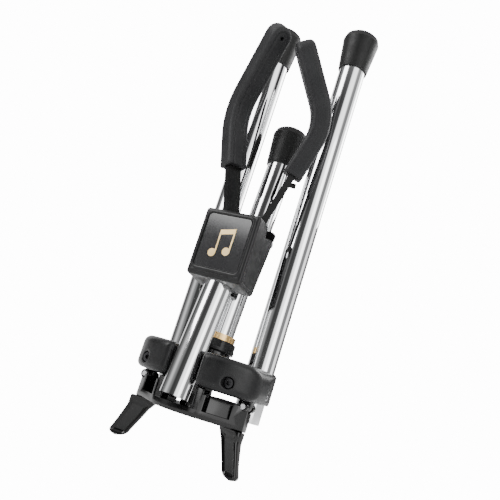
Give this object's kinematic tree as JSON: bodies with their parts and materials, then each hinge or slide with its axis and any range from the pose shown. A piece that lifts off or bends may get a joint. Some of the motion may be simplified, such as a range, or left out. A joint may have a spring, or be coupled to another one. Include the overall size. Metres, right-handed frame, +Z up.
{
  "type": "folding saxophone stand",
  "caption": "Folding instrument stand, folded: chrome legs and mast on a moulded hub, rest prongs, and a padded yoke.",
  "frame": {"origin": "centre of the bounding box at its base, level with the tips of the rest prongs", "axes": "+Z up along the folded legs, -Y towards the badge, +X to the right as seen from the badge side"},
  "size_m": [0.1302, 0.0964, 0.4291],
  "materials": {
    "chrome_tube": "polished chrome plate",
    "foot_rubber": "moulded rubber, satin",
    "sleeve_rubber": "soft dipped rubber, satin",
    "brass_ring": "polished brass",
    "badge_gloss": "domed glossy resin",
    "emblem_gold": "gold print",
    "hub_plastic": "glossy moulded plastic",
    "joint_plastic": "fine textured moulded plastic",
    "black_bar": "black powder coat",
    "dark_steel": "black oxide",
    "bright_steel": "zinc plated"
  },
  "bodies": {
    "base": {"hub": "hub_plastic", "rest_prong_right": "hub_plastic", "rest_prong_left": "hub_plastic", "prong_screws": "bright_steel", "leg_pivot_pins": "bright_steel", "rear_leg_tube": "chrome_tube", "rear_foot": "foot_rubber", "rear_ring": "brass_ring", "rear_collar": "joint_plastic"},
    "mast": {"mast_tube": "chrome_tube", "mast_pin": "bright_steel", "mast_plug": "joint_plastic", "yoke_block": "joint_plastic", "badge": "badge_gloss", "badge_emblem": "emblem_gold", "arm_pins": "bright_steel", "ear_screws": "bright_steel"},
    "leg_right": {"leg_tube_right": "chrome_tube", "foot_right": "foot_rubber", "knuckle_right": "joint_plastic", "knuckle_bolt_right": "dark_steel", "clamp_screw_right": "bright_steel"},
    "leg_left": {"leg_tube_left": "chrome_tube", "foot_left": "foot_rubber", "knuckle_left": "joint_plastic", "knuckle_bolt_left": "dark_steel", "clamp_screw_left": "bright_steel"},
    "arm_right": {"arm_bar_right": "black_bar", "arm_sleeve_right": "sleeve_rubber"},
    "arm_left": {"arm_bar_left": "black_bar", "arm_sleeve_left": "sleeve_rubber"}
  },
  "joints": [
    {"name": "mast_hinge", "type": "hinge", "parent": "base", "child": "mast", "pos_m": [0, -0.02601, 0.071], "axis": [1, 0, 0], "range_deg": [0, 95]},
    {"name": "leg_right_hinge", "type": "hinge", "parent": "base", "child": "leg_right", "pos_m": [0.05, 0.00604, 0.0572], "axis": [0, 1, 0], "range_deg": [0, 90]},
    {"name": "leg_left_hinge", "type": "hinge", "parent": "base", "child": "leg_left", "pos_m": [-0.05, 0.00604, 0.0572], "axis": [0, -1, 0], "range_deg": [0, 90]},
    {"name": "arm_right_hinge", "type": "hinge", "parent": "mast", "child": "arm_right", "pos_m": [0.0124, -0.00396, 0.2], "axis": [0, 0.9882, 0.153], "range_deg": [0, 50]},
    {"name": "arm_left_hinge", "type": "hinge", "parent": "mast", "child": "arm_left", "pos_m": [-0.0124, -0.00396, 0.2], "axis": [0, -0.9882, -0.153], "range_deg": [0, 50]}
  ]
}
